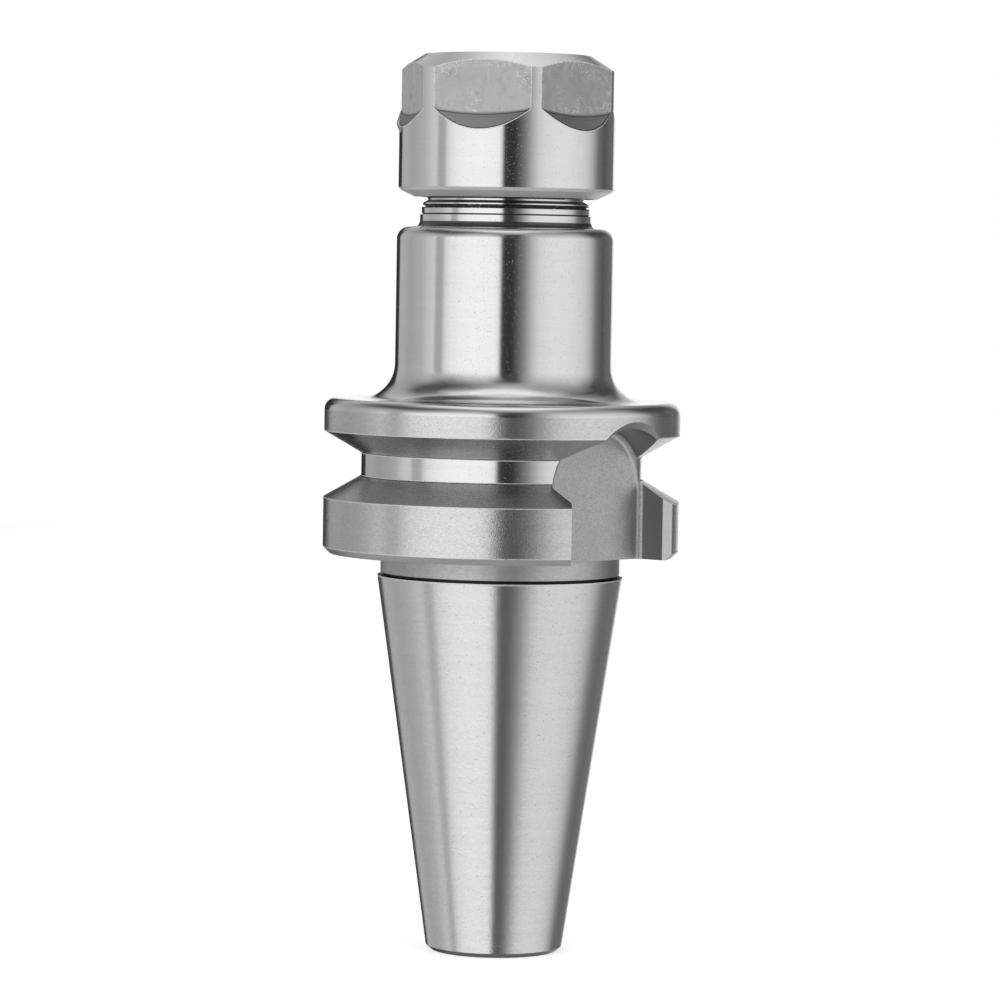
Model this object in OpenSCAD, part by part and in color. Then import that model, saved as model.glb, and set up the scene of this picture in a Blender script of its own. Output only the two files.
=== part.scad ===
// Collet chuck holder for a milling spindle: a steep taper shank with a gripper flange,
// a cylindrical body with a thread neck, a slotted spring collet and its hexagonal nut.
// The origin is on the axis in the gauge plane of the taper, and +Z points to the nut.

/* [Taper shank] */
// Diameter of the taper at the gauge plane
gauge_d = 31.75; // [28:0.05:34]
// Length of the taper below the gauge plane
taper_len = 48.6; // [44:0.2:52]
// Diameter lost along the taper, with the next value as the length it is lost over
taper_fall = 7; // [6:0.1:8]
// Length over which that much diameter is lost
taper_run = 24; // [22:0.5:26]
// Chamfer round the small end of the taper
end_chamfer = 0.6; // [0.4:0.1:1.6]

/* [Relief above the taper] */
// Radial step from the gauge diameter in to the relief
relief_step = 0.4; // [0.2:0.05:0.8]
// Height of the relief between the gauge plane and the flange
relief_h = 2.8; // [2:0.1:4]
// Height of the fine undercut that ends the ground taper
undercut_h = 0.4; // [0.2:0.05:0.6]
// Radial depth of the fine undercut below the relief
undercut_depth = 0.9; // [0.3:0.1:1.2]

/* [Flange] */
// Outside diameter of the flange
flange_d = 46; // [44:0.5:50]
// Height of the lower land, the one beside the spindle
lower_land_h = 7.2; // [6:0.1:8.5]
// Height of the upper land, the one beside the body
upper_land_h = 4.25; // [3.5:0.05:5]
// Chamfer round the lower edge of the flange
flange_chamfer = 0.8; // [0.4:0.1:1.2]
// Round on the upper edge of the flange
flange_round = 1.5; // [0.4:0.1:1.8]
// Diameter of the floor of the gripper groove
groove_floor_d = 36.3; // [35.4:0.1:38]
// Height of the floor of the gripper groove
groove_floor_h = 2.95; // [2:0.05:4]
// Angle between a side of the gripper groove and the flange face
groove_angle = 30; // [25:1:35]

/* [Drive slots] */
// Width of a drive slot between its walls
slot_w = 17.6; // [15:0.1:18]
// Distance from the axis to the floor of a drive slot
slot_floor = 16.1; // [15.8:0.1:16.6]
// Height of the centre of a slot's round end above the lower face of the flange
slot_arc_h = 8.3; // [7.5:0.1:8.8]
// Chamfer along the edges of a drive slot
slot_chamfer = 0.85; // [0.4:0.05:1.1]
// Round between the floor and the walls of a drive slot
slot_round = 0.8; // [0.3:0.1:1.5]

/* [Body] */
// Diameter of the cylindrical body
body_d = 28; // [26.5:0.5:32]
// Length of the body from the flange to its shoulder
body_len = 22.2; // [16:0.2:40]
// Fillet between the flange and the body
body_fillet = 4.5; // [2:0.1:5]
// Round on the shoulder of the body
shoulder_round = 1.6; // [0.4:0.1:1.8]

/* [Thread neck] */
// Outside diameter of the thread for the nut
thread_d = 21.9; // [21.8:0.05:22.4]
// Length of the neck from the shoulder to its nose
neck_len = 11.2; // [10:0.1:14]
// Diameter of the plain collar at the foot of the neck
collar_d = 22.1; // [22:0.05:23.5]
// Height of the plain collar above the shoulder
collar_h = 1.55; // [1:0.05:2]
// Fillet at the foot of the collar
collar_fillet = 0.7; // [0.3:0.05:0.9]
// Diameter of the plain land above the collar
land_d = 21.7; // [21.2:0.05:21.9]
// Height of that plain land
land_h = 0.95; // [0.5:0.05:1.2]
// Height and depth of the fine line turned between the collar and the land
line_w = 0.16; // [0.1:0.02:0.3]
// Height of the narrow groove between that land and the last crest of the thread
run_line_h = 0.25; // [0.15:0.05:0.4]
// Depth of that narrow groove below the land
run_line_depth = 0.45; // [0.2:0.05:0.6]
// Diameter of the last crest, where the thread fades out
crest_d = 21.4; // [21:0.05:21.8]
// Height of that last crest
crest_h = 0.3; // [0.15:0.05:0.5]
// Depth of the groove in which the thread runs out, which is the thread's own depth
thread_depth = 0.9; // [0.6:0.05:1]
// Angle between a flank of that groove and the nose's face
flank_angle = 30; // [27:1:33]
// Height of the flat at the bottom of that groove
root_h = 0.2; // [0.1:0.05:0.4]
// Chamfer that starts the thread at the nose
nose_chamfer = 1; // [0.5:0.1:1.3]

/* [Collet seat] */
// Diameter of the collet seat at the nose
seat_d = 16; // [15.8:0.05:16.2]
// Half angle of the collet seat
seat_angle = 8; // [7.8:0.05:8.2]
// Depth of the conical collet seat
seat_depth = 19; // [18:0.1:20]
// Chamfer at the mouth of the collet seat
seat_chamfer = 0.3; // [0.1:0.1:0.5]
// Diameter of the clearance bore below the seat
seat_bore_d = 10.4; // [10:0.1:10.5]
// Depth of that clearance bore below the seat
seat_bore_depth = 4; // [2:0.5:12]
// Diameter of the passage through the holder
passage_d = 8; // [6:0.5:9]

/* [Drawbar hole] */
// Diameter of the plain pilot bore at the small end
pilot_d = 12.5; // [12:0.1:13]
// Depth of the pilot bore
pilot_depth = 7; // [5:0.5:9]
// Wall diameter of the drawbar thread, which is its minor diameter
drawbar_d = 10.2; // [9.6:0.1:10.8]
// Depth of the drawbar hole from the small end
drawbar_depth = 34; // [28:0.5:36]
// Chamfer at the mouth of the pilot bore
pilot_chamfer = 0.5; // [0.2:0.1:1]
// Point angle left by the drills
drill_angle = 118; // [90:1:135]

/* [Collet] */
// Length of the collet
collet_len = 27.5; // [26:0.1:28]
// Largest diameter of the collet
collet_d = 17; // [16.8:0.05:17.2]
// Distance from the front face back to the largest diameter
collet_head = 6.26; // [6:0.02:6.8]
// Length of the cylindrical land at the largest diameter
collet_land = 0.28; // [0.1:0.02:0.4]
// Diameter of the front face
nose_face_d = 12.4; // [12:0.1:12.8]
// Half angle of the nose cone that the nut presses on
nose_angle = 30; // [28:1:32]
// Diameter of the lip behind the nose cone
lip_d = 15.5; // [15.2:0.05:15.7]
// Length of the lip's cylindrical edge
lip_land = 0.3; // [0.2:0.05:0.5]
// Diameter of the floor of the extraction groove
collet_groove_d = 13.8; // [13.4:0.1:14]
// Bore that grips the tool shank
collet_bore_d = 6; // [3:0.5:8]
// Diameter of the relieved stretch of the bore at the tail
tail_bore_d = 8.6; // [8.4:0.1:9]
// Length of the relieved stretch
tail_bore_len = 6; // [3:0.5:10]
// Slits from each end of the collet
slit_count = 8; // [4:1:8]
// Width of a slit
slit_w = 0.6; // [0.3:0.05:0.6]
// Uncut length that each slit leaves at its far end
slit_web = 4.2; // [3.6:0.1:6]
// Chamfer on the edges of the collet
collet_chamfer = 0.3; // [0.1:0.05:0.4]

/* [Nut] */
// Outside diameter of the nut
nut_d = 27.8; // [27:0.1:29]
// Width across the flats of the nut
nut_flats = 24.7; // [24:0.05:25.5]
// Angle of a flat's normal from the middle of a drive slot
nut_angle = -2.4; // [-30:0.1:30]
// Length of the nut
nut_len = 18.3; // [17.5:0.1:19]
// Depth of the collet's face behind the face of the nut
face_recess = 0.75; // [0.4:0.05:1]
// Diameter of the front face of the nut
nut_face_d = 21.6; // [18:0.1:23]
// Angle of the front chamfer from the face
nut_chamfer_angle = 32; // [20:1:35]
// Length of the wrench flats from the front face, at the middle of a flat
flat_len = 7.7; // [6:0.1:9]
// Diameter of the face mill that cut the flats, which rounds their lower ends
mill_d = 68; // [60:2:90]
// How much less deep than the others one of the flats is cut
shallow_cut = 0.3; // [0.05:0.05:0.4]
// Drop of the sloping run-out below each flat
flat_runout = 2.1; // [1:0.1:3]
// Axial height of the sloping face behind the nut
rear_slope_h = 0.8; // [0.4:0.1:1.4]
// Chamfer between that face and the skirt
rear_chamfer = 0.4; // [0.2:0.1:0.8]
// Width of the flat rim round the mouth
rear_rim = 0.2; // [0.1:0.1:0.8]
// Chamfer at the mouth of the nut's thread
mouth_chamfer = 0.5; // [0.2:0.1:0.8]
// Wall diameter of the front opening
nut_opening_d = 12.7; // [12.6:0.05:13]
// Chamfer outside the front opening
opening_chamfer = 0.45; // [0.2:0.05:0.6]

/* [Extraction ring] */
// Height of the off-centre ring that pulls the collet out
ring_h = 1.5; // [1:0.1:1.8]
// Bore of the ring
ring_d = 15.9; // [15.8:0.05:16.2]
// Distance of the ring's centre from the axis
ring_offset = 0.7; // [0.4:0.05:0.8]

/* [Clearances] */
// Radial gap between the collet and its seat
seat_gap = 0.05; // [0.03:0.01:0.08]
// Radial gap between the nut and the outside of the thread
thread_gap = 0.1; // [0.05:0.01:0.2]
// Radial gap between the nut's cone and the collet's nose cone
cone_gap = 0.1; // [0.05:0.01:0.15]
// Axial gap between the ring and the collet's lip
ring_gap = 0.2; // [0.1:0.02:0.4]
// Radial gap round the collet's lip and largest diameter inside the nut
cavity_gap = 0.6; // [0.3:0.05:0.8]
// Axial gap between the nose of the neck and the end of the nut's thread
nose_gap = 1; // [0.6:0.1:1.5]

/* [Hidden] */
$fn = 120;
eps = 0.01;
over = 1;
half = 0.5;
full_turn = 360;
right_angle = 90;
hex_sides = 6;
slot_sides = 2;
shallow_side = 4;
steel_dark = [0.62, 0.62, 0.63];
steel_mid = [0.72, 0.72, 0.73];
steel_light = [0.8, 0.8, 0.81];

// Taper shank
gauge_r = gauge_d * half;
small_z = -taper_len;
function taper_r(z) = gauge_r + z * taper_fall / taper_run * half;
small_r = taper_r(small_z);
relief_r = gauge_r - relief_step;

// Flange
flange_r = flange_d * half;
groove_r = groove_floor_d * half;
groove_side_h = (flange_r - groove_r) * tan(groove_angle);
flange_z = relief_h;
lower_edge_z = flange_z + lower_land_h;
floor_low_z = lower_edge_z + groove_side_h;
floor_high_z = floor_low_z + groove_floor_h;
upper_edge_z = floor_high_z + groove_side_h;
flange_top_z = upper_edge_z + upper_land_h;

// Body and neck
body_r = body_d * half;
shoulder_z = flange_top_z + body_len;
nose_z = shoulder_z + neck_len;
thread_r = thread_d * half;
collar_r = collar_d * half;
collar_z = shoulder_z + collar_h;
land_r = land_d * half;
land_z = collar_z + land_h;
crest_r = crest_d * half;
crest_z = land_z + run_line_h;
root_r = thread_r - thread_depth;
low_flank_h = (crest_r - root_r) * tan(flank_angle);
high_flank_h = thread_depth * tan(flank_angle);
root_z = crest_z + crest_h + low_flank_h;

// Drive slots
slot_half = slot_w * half;
slot_arc_z = flange_z + slot_arc_h;
slot_edge_half = slot_half + slot_chamfer;
slot_edge_x = sqrt(flange_r * flange_r - slot_edge_half * slot_edge_half);
slot_reach = flange_r + over;

// Collet seat and passage
seat_r = seat_d * half;
seat_end_z = nose_z - seat_depth;
seat_end_r = seat_r - seat_depth * tan(seat_angle);
seat_bore_z = seat_end_z - seat_bore_depth;
seat_bore_r = seat_bore_d * half;
passage_r = passage_d * half;
pilot_r = pilot_d * half;
pilot_z = small_z + pilot_depth;
drawbar_r = drawbar_d * half;
drawbar_z = small_z + drawbar_depth;
drill_tan = tan(drill_angle * half);

// Collet: its cone lies one seat gap inside the seat
collet_r = collet_d * half;
cone_top_z = nose_z + (collet_r + seat_gap - seat_r) / tan(seat_angle);
collet_front_z = cone_top_z + collet_head;
collet_tail_z = collet_front_z - collet_len;
collet_tail_r = collet_r - (cone_top_z - collet_tail_z) * tan(seat_angle);
nose_face_r = nose_face_d * half;
lip_r = lip_d * half;
lip_front_z = collet_front_z - (lip_r - nose_face_r) / tan(nose_angle);
lip_back_z = lip_front_z - lip_land;
collet_groove_r = collet_groove_d * half;
collet_groove_z = cone_top_z + collet_land + collet_chamfer;
collet_bore_r = collet_bore_d * half;
tail_bore_r = tail_bore_d * half;

// Nut: its front is set by the collet's face
nut_r = nut_d * half;
flat_r = nut_flats * half;
mill_r = mill_d * half;
nut_front_z = collet_front_z + face_recess;
nut_rear_z = nut_front_z - nut_len;
nut_face_r = nut_face_d * half;
nut_bore_r = thread_r + thread_gap;
nut_bore_z = nose_z + nose_gap;
front_edge_z = nut_front_z - (nut_r - nut_face_r) * tan(nut_chamfer_angle);
flat_z = nut_front_z - flat_len;
ring_top_z = lip_back_z - ring_gap;
ring_low_z = ring_top_z - ring_h;
cavity_r = collet_r + cavity_gap;
cone_low_r = lip_r + cone_gap;
opening_r = nut_opening_d * half;
opening_z = lip_front_z + (cone_low_r - opening_r) / tan(nose_angle);

// Inside corner between a wall at radius r above a face at height z, filled with a fillet
module inside_fillet(r, z, size) {
    difference() {
        translate([r - eps, z - eps]) square(size + eps);
        translate([r + size, z + size]) circle(r = size);
    }
}

// Piece to take off an outside corner at radius r and height z to leave a round
module outside_round(r, z, size) {
    difference() {
        translate([r - size, z - size]) square(size + over);
        translate([r - size, z - size]) circle(r = size);
    }
}

// Half section of everything that is turned outside, from the small end to the flange
module shank_profile() {
    polygon([
        [0, small_z],
        [small_r - end_chamfer, small_z],
        [taper_r(small_z + end_chamfer), small_z + end_chamfer],
        [gauge_r, 0],
        [relief_r - undercut_depth, 0],
        [relief_r - undercut_depth, undercut_h],
        [relief_r, undercut_h],
        [relief_r, flange_z + eps],
        [0, flange_z + eps]
    ]);
}

// Half section of the flange with its V-shaped gripper groove
module flange_profile() {
    difference() {
        polygon([
            [0, flange_z],
            [flange_r - flange_chamfer, flange_z],
            [flange_r, flange_z + flange_chamfer],
            [flange_r, lower_edge_z],
            [groove_r, floor_low_z],
            [groove_r, floor_high_z],
            [flange_r, upper_edge_z],
            [flange_r, flange_top_z],
            [0, flange_top_z]
        ]);
        outside_round(flange_r, flange_top_z, flange_round);
    }
}

// Half section of the cylindrical body and the neck that carries the nut
module body_profile() {
    difference() {
        union() {
            translate([0, flange_z]) square([body_r, shoulder_z - flange_z]);
            inside_fillet(body_r, flange_top_z, body_fillet);
        }
        outside_round(body_r, shoulder_z, shoulder_round);
    }
    translate([0, flange_z]) square([collar_r, collar_z - flange_z]);
    inside_fillet(collar_r, shoulder_z, collar_fillet);
    polygon([
        [0, flange_z],
        [land_r - line_w, flange_z],
        [land_r - line_w, collar_z + line_w],
        [land_r, collar_z + line_w],
        [land_r, land_z],
        [land_r - run_line_depth, land_z],
        [land_r - run_line_depth, crest_z],
        [crest_r, crest_z],
        [crest_r, crest_z + crest_h],
        [root_r, root_z],
        [root_r, root_z + root_h],
        [thread_r, root_z + root_h + high_flank_h],
        [thread_r, nose_z - nose_chamfer],
        [thread_r - nose_chamfer, nose_z],
        [0, nose_z]
    ]);
}

// Half section of the passage from the collet seat to the drawbar hole
module passage_profile() {
    polygon([
        [0, small_z - over],
        [pilot_r + pilot_chamfer + over, small_z - over],
        [pilot_r, small_z + pilot_chamfer],
        [pilot_r, pilot_z],
        [drawbar_r, pilot_z],
        [drawbar_r, drawbar_z],
        [passage_r, drawbar_z + (drawbar_r - passage_r) / drill_tan],
        [passage_r, seat_bore_z - (seat_bore_r - passage_r) / drill_tan],
        [seat_bore_r, seat_bore_z],
        [seat_bore_r, seat_end_z],
        [seat_end_r, seat_end_z],
        [seat_r - seat_chamfer * tan(seat_angle), nose_z - seat_chamfer],
        [seat_r + seat_chamfer + over, nose_z + over],
        [0, nose_z + over]
    ]);
}

// Tool path of one drive slot on the +X side: straight below, round above, with a rounded floor
module slot_cut() {
    floor_half = slot_half - slot_round;
    // Straight stretch, open at the lower face of the flange
    translate([0, 0, flange_z - over])
        linear_extrude(slot_arc_z - flange_z + over) {
            translate([slot_floor, -floor_half])
                square([slot_reach - slot_floor, 2 * floor_half]);
            translate([slot_floor + slot_round, -slot_half])
                square([slot_reach - slot_floor - slot_round, slot_w]);
            for (side = [-1, 1])
                translate([slot_floor + slot_round, side * floor_half])
                    circle(r = slot_round);
        }
    // Round upper end
    translate([0, 0, slot_arc_z])
        rotate([0, right_angle, 0])
            rotate_extrude() {
                translate([0, slot_floor])
                    square([floor_half, slot_reach - slot_floor]);
                translate([0, slot_floor + slot_round])
                    square([slot_half, slot_reach - slot_floor - slot_round]);
                translate([floor_half, slot_floor + slot_round])
                    circle(r = slot_round);
            }
}

// Chamfers on the edges of one drive slot
module slot_edges() {
    flare = slot_reach - slot_edge_x;
    // Edges of the lower land
    translate([0, 0, flange_z - over])
        linear_extrude(slot_arc_z - flange_z + over)
            polygon([
                [slot_edge_x - slot_chamfer, -slot_half],
                [slot_edge_x - slot_chamfer, slot_half],
                [slot_reach, slot_edge_half + flare],
                [slot_reach, -slot_edge_half - flare]
            ]);
    // Edge of the round end in the upper land
    translate([flange_r - slot_chamfer, 0, slot_arc_z])
        rotate([0, right_angle, 0])
            cylinder(
                h = slot_chamfer + over,
                r1 = slot_half,
                r2 = slot_half + slot_chamfer + over
            );
}

// Holder: one turned and ground piece, from the taper to the thread neck
module holder_body() {
    color(steel_mid)
        difference() {
            rotate_extrude() {
                shank_profile();
                flange_profile();
                body_profile();
            }
            rotate_extrude() passage_profile();
            for (i = [0 : slot_sides - 1])
                rotate([0, 0, i * full_turn / slot_sides]) {
                    slot_cut();
                    slot_edges();
                }
        }
}

// Half section of the nut before its flats are milled
module nut_profile() {
    rim_r = nut_bore_r + mouth_chamfer + rear_rim;
    polygon([
        [0, nut_rear_z],
        [rim_r, nut_rear_z],
        [nut_r - rear_chamfer, nut_rear_z + rear_slope_h],
        [nut_r, nut_rear_z + rear_slope_h + rear_chamfer],
        [nut_r, front_edge_z],
        [nut_face_r, nut_front_z],
        [0, nut_front_z]
    ]);
}

// Half section of the nut's hollow, all of it round the axis
module nut_hollow_profile() {
    // Thread bore with its mouth, and the cavity above it for the collet's head
    polygon([
        [0, nut_rear_z - over],
        [nut_bore_r + mouth_chamfer + over, nut_rear_z - over],
        [nut_bore_r, nut_rear_z + mouth_chamfer],
        [nut_bore_r, nut_bore_z],
        [cavity_r, nut_bore_z],
        [cavity_r, ring_low_z],
        [0, ring_low_z]
    ]);
    // Pocket for the lip, cone that presses on the nose, and the front opening
    polygon([
        [0, ring_top_z],
        [cone_low_r, ring_top_z],
        [cone_low_r, lip_front_z],
        [opening_r, opening_z],
        [opening_r, nut_front_z - opening_chamfer],
        [opening_r + opening_chamfer + over, nut_front_z + over],
        [0, nut_front_z + over]
    ]);
}

// Sweep of the face mill for one wrench flat: its conical edge leaves the sloping run-out
module flat_cut() {
    slope = flat_runout / (nut_r - flat_r);
    depth = nut_r + over - flat_r;
    translate([flat_r, 0, flat_z + mill_r])
        rotate([0, right_angle, 0])
            cylinder(h = depth, r1 = mill_r, r2 = mill_r + depth * slope);
}

// Nut: one piece, with the off-centre ring that hooks the collet's groove on one side
module clamping_nut() {
    color(steel_light)
        difference() {
            rotate_extrude() nut_profile();
            rotate_extrude() nut_hollow_profile();
            translate([ring_offset, 0, ring_low_z - eps])
                cylinder(h = ring_h + 2 * eps, d = ring_d);
            for (i = [0 : hex_sides - 1])
                rotate([0, 0, nut_angle + i * full_turn / hex_sides])
                    translate([i == shallow_side ? shallow_cut : 0, 0, 0]) flat_cut();
        }
}

// Half section of the collet with its seat cone, groove, lip and nose cone
module collet_profile() {
    difference() {
        polygon([
            [0, collet_tail_z],
            [collet_tail_r - collet_chamfer, collet_tail_z],
            [collet_tail_r + collet_chamfer * tan(seat_angle), collet_tail_z + collet_chamfer],
            [collet_r, cone_top_z],
            [collet_r, collet_groove_z - collet_chamfer],
            [collet_r - collet_chamfer, collet_groove_z],
            [collet_groove_r, collet_groove_z],
            [collet_groove_r, lip_back_z],
            [lip_r, lip_back_z],
            [lip_r, lip_front_z],
            [nose_face_r, collet_front_z],
            [0, collet_front_z]
        ]);
        // Bore, wider at the tail and chamfered at the front
        polygon([
            [-over, collet_tail_z - over],
            [tail_bore_r, collet_tail_z - over],
            [tail_bore_r, collet_tail_z + tail_bore_len],
            [collet_bore_r, collet_tail_z + tail_bore_len + tail_bore_r - collet_bore_r],
            [collet_bore_r, collet_front_z - collet_chamfer],
            [collet_bore_r + collet_chamfer + over, collet_front_z + over],
            [-over, collet_front_z + over]
        ]);
    }
}

// One slit, cut from the bore outwards along the +X side
module slit(low_z, high_z) {
    translate([0, -slit_w * half, low_z])
        cube([collet_r + over, slit_w, high_z - low_z]);
}

// Collet: a slotted spring sleeve, with every second slit from the other end
module collet() {
    step = full_turn / slit_count;
    color(steel_dark)
        difference() {
            rotate_extrude() collet_profile();
            for (i = [0 : slit_count - 1]) {
                rotate([0, 0, i * step])
                    slit(collet_tail_z + slit_web, collet_front_z + over);
                rotate([0, 0, (i + half) * step])
                    slit(collet_tail_z - over, collet_front_z - slit_web);
            }
        }
}

holder_body();
clamping_nut();
collet();
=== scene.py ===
import math

import bmesh
import bpy
import numpy as np
from mathutils import Matrix, Vector
from mathutils.kdtree import KDTree


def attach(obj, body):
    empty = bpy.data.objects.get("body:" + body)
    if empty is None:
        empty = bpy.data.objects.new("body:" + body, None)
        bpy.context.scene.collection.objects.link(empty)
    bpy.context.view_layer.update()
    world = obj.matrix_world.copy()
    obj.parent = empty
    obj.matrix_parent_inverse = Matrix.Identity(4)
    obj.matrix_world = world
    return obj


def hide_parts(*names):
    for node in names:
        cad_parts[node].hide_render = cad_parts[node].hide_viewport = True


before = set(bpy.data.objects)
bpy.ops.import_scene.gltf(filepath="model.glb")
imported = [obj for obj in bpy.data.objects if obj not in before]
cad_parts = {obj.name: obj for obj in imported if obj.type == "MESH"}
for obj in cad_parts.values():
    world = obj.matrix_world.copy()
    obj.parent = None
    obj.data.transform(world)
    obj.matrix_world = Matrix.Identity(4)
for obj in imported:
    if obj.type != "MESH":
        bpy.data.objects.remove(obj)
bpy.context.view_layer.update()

MM = 0.001

# ---------------------------------------------------------------- camera and studio, in metres
CAMERA_ANGLE = -47.5            # degrees from +X, where the camera stands
CAMERA_DISTANCE = 573.9 * MM
CAMERA_HEIGHT = 40.8 * MM
CAMERA_PITCH = 3.09             # degrees downwards
CAMERA_YAW = 0.013              # degrees to the left
CAMERA_ROLL = 0.958             # degrees
CAMERA_LENS = 159.82            # millimetres on the sensor's width
CAMERA_SENSOR = 36.0            # millimetres
FLOOR_Z = -48.6 * MM
FLOOR_RADIUS = 0.9
FLOOR_GREY = 0.86
FLOOR_LIFT = 0.66               # glow that brings the lit floor to white where it is seen
WORLD_LIGHT = 0.7               # on the object; white where the camera or a mirror sees it
TENT_RADIUS = 1.0
TENT_MIDDLE = 9.4 * MM

# ---------------------------------------------------------------- the neck's thread, in metres
THREAD_PITCH = 1.5 * MM
THREAD_RADIUS = 10.95 * MM
THREAD_DEPTH = 0.88 * MM
THREAD_START = 48.6 * MM
THREAD_END = 57.2 * MM
THREAD_ROOT_HALF = 0.094 * MM   # half the width of the flat at the root
THREAD_FLANK = 30.0             # degrees
THREAD_STEPS = 96               # to the turn
CUTTER_MARGIN = 0.2 * MM        # how far the cutter stands out of the neck

# ---------------------------------------------------------------- the nut and its wrench flats, in metres
NUT_RADIUS = 13.9 * MM
NUT_TURN = -2.4                 # degrees, normal of the first wrench flat
FLAT_STEP = 60.0                # degrees from flat to flat
FLAT_RADIUS = 12.35 * MM
FLAT_BOTTOM = 59.424 * MM
MILL_RADIUS = 34.0 * MM
MILL_SLOPE = 2.1 / 1.55         # of the run-out: down the nut over outwards
SHALLOW_CUT = 0.3 * MM
SHALLOW_TURN = 237.6            # degrees, normal of the flat that is cut less deep
PAINTED_LIGHT_TURN = 225.0                # degrees, side of the nut towards which the wrench flats are painted lighter
NUT_FACE_RADIUS = 10.8 * MM
NUT_FACE_Z = 67.124 * MM
NUT_CHAMFER = 32.0              # degrees

BURR_FROM = -31.0               # degrees along the run-out, from the middle of the flat
BURR_TO = -1.0
BURR_HEIGHT = 0.40 * MM
BURR_FLANK = 1.1 * MM           # how far down the skirt it dies out
BURR_LIP = 0.86                 # of its height, where it turns over at the run-out
BURR_SINK = 0.02 * MM           # how far its foot lies inside the skirt
BURR_ROOT = 0.15 * MM           # how far its back lies inside the skirt
BURR_ENDS = 1.5                 # power by which it dies out towards both ends
BURR_WAVE = 0.1                 # share of its height that waves
BURR_WAVES = 17.0               # radians of wave from end to end
BURR_FALL = 1.6                 # power by which it falls off down the skirt
BURR_BELLY = 1.2                # how much fuller it is below the lip
BURR_STEPS = 48                 # along the run-out
BURR_ACROSS = 7                 # down the skirt


# ---------------------------------------------------------------- objects
def new_object(name, data):
    obj = bpy.data.objects.new(name, data)
    bpy.context.scene.collection.objects.link(obj)
    return obj


def new_mesh(name, work):
    """The mesh of a finished bmesh."""
    mesh = bpy.data.meshes.new(name)
    work.to_mesh(mesh)
    work.free()
    return mesh


def close_bar(work, rows):
    """Joins rings of vertices into the sides of a bar and closes its two ends."""
    for one, two in zip(rows, rows[1:]):
        for k in range(len(one)):
            m = (k + 1) % len(one)
            work.faces.new((one[k], one[m], two[m], two[k]))
    work.faces.new(rows[0][::-1])
    work.faces.new(rows[-1])


# ---------------------------------------------------------------- camera
def make_camera():
    stand = math.radians(CAMERA_ANGLE)
    pitch = math.radians(CAMERA_PITCH)
    roll = math.radians(CAMERA_ROLL)
    place = Vector((CAMERA_DISTANCE * math.cos(stand), CAMERA_DISTANCE * math.sin(stand), CAMERA_HEIGHT))
    aim = stand + math.pi + math.radians(CAMERA_YAW)
    ahead = Vector((math.cos(aim) * math.cos(pitch), math.sin(aim) * math.cos(pitch), -math.sin(pitch)))
    right = ahead.cross(Vector((0, 0, 1))).normalized()
    up = right.cross(ahead).normalized()
    side = right * math.cos(roll) + up * math.sin(roll)
    top = up * math.cos(roll) - right * math.sin(roll)
    data = bpy.data.cameras.new("camera")
    data.sensor_width = CAMERA_SENSOR
    data.lens = CAMERA_LENS
    data.clip_start = 0.01
    data.clip_end = 50.0
    camera = new_object("camera", data)
    turn = Matrix((side, top, -ahead)).transposed().to_4x4()
    camera.matrix_world = Matrix.Translation(place) @ turn
    bpy.context.scene.camera = camera


# ---------------------------------------------------------------- material helpers
BLACK = (0.0, 0.0, 0.0, 1.0)
WHITE = (1.0, 1.0, 1.0, 1.0)


def grey(value):
    return (value, value, value, 1.0)


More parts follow.
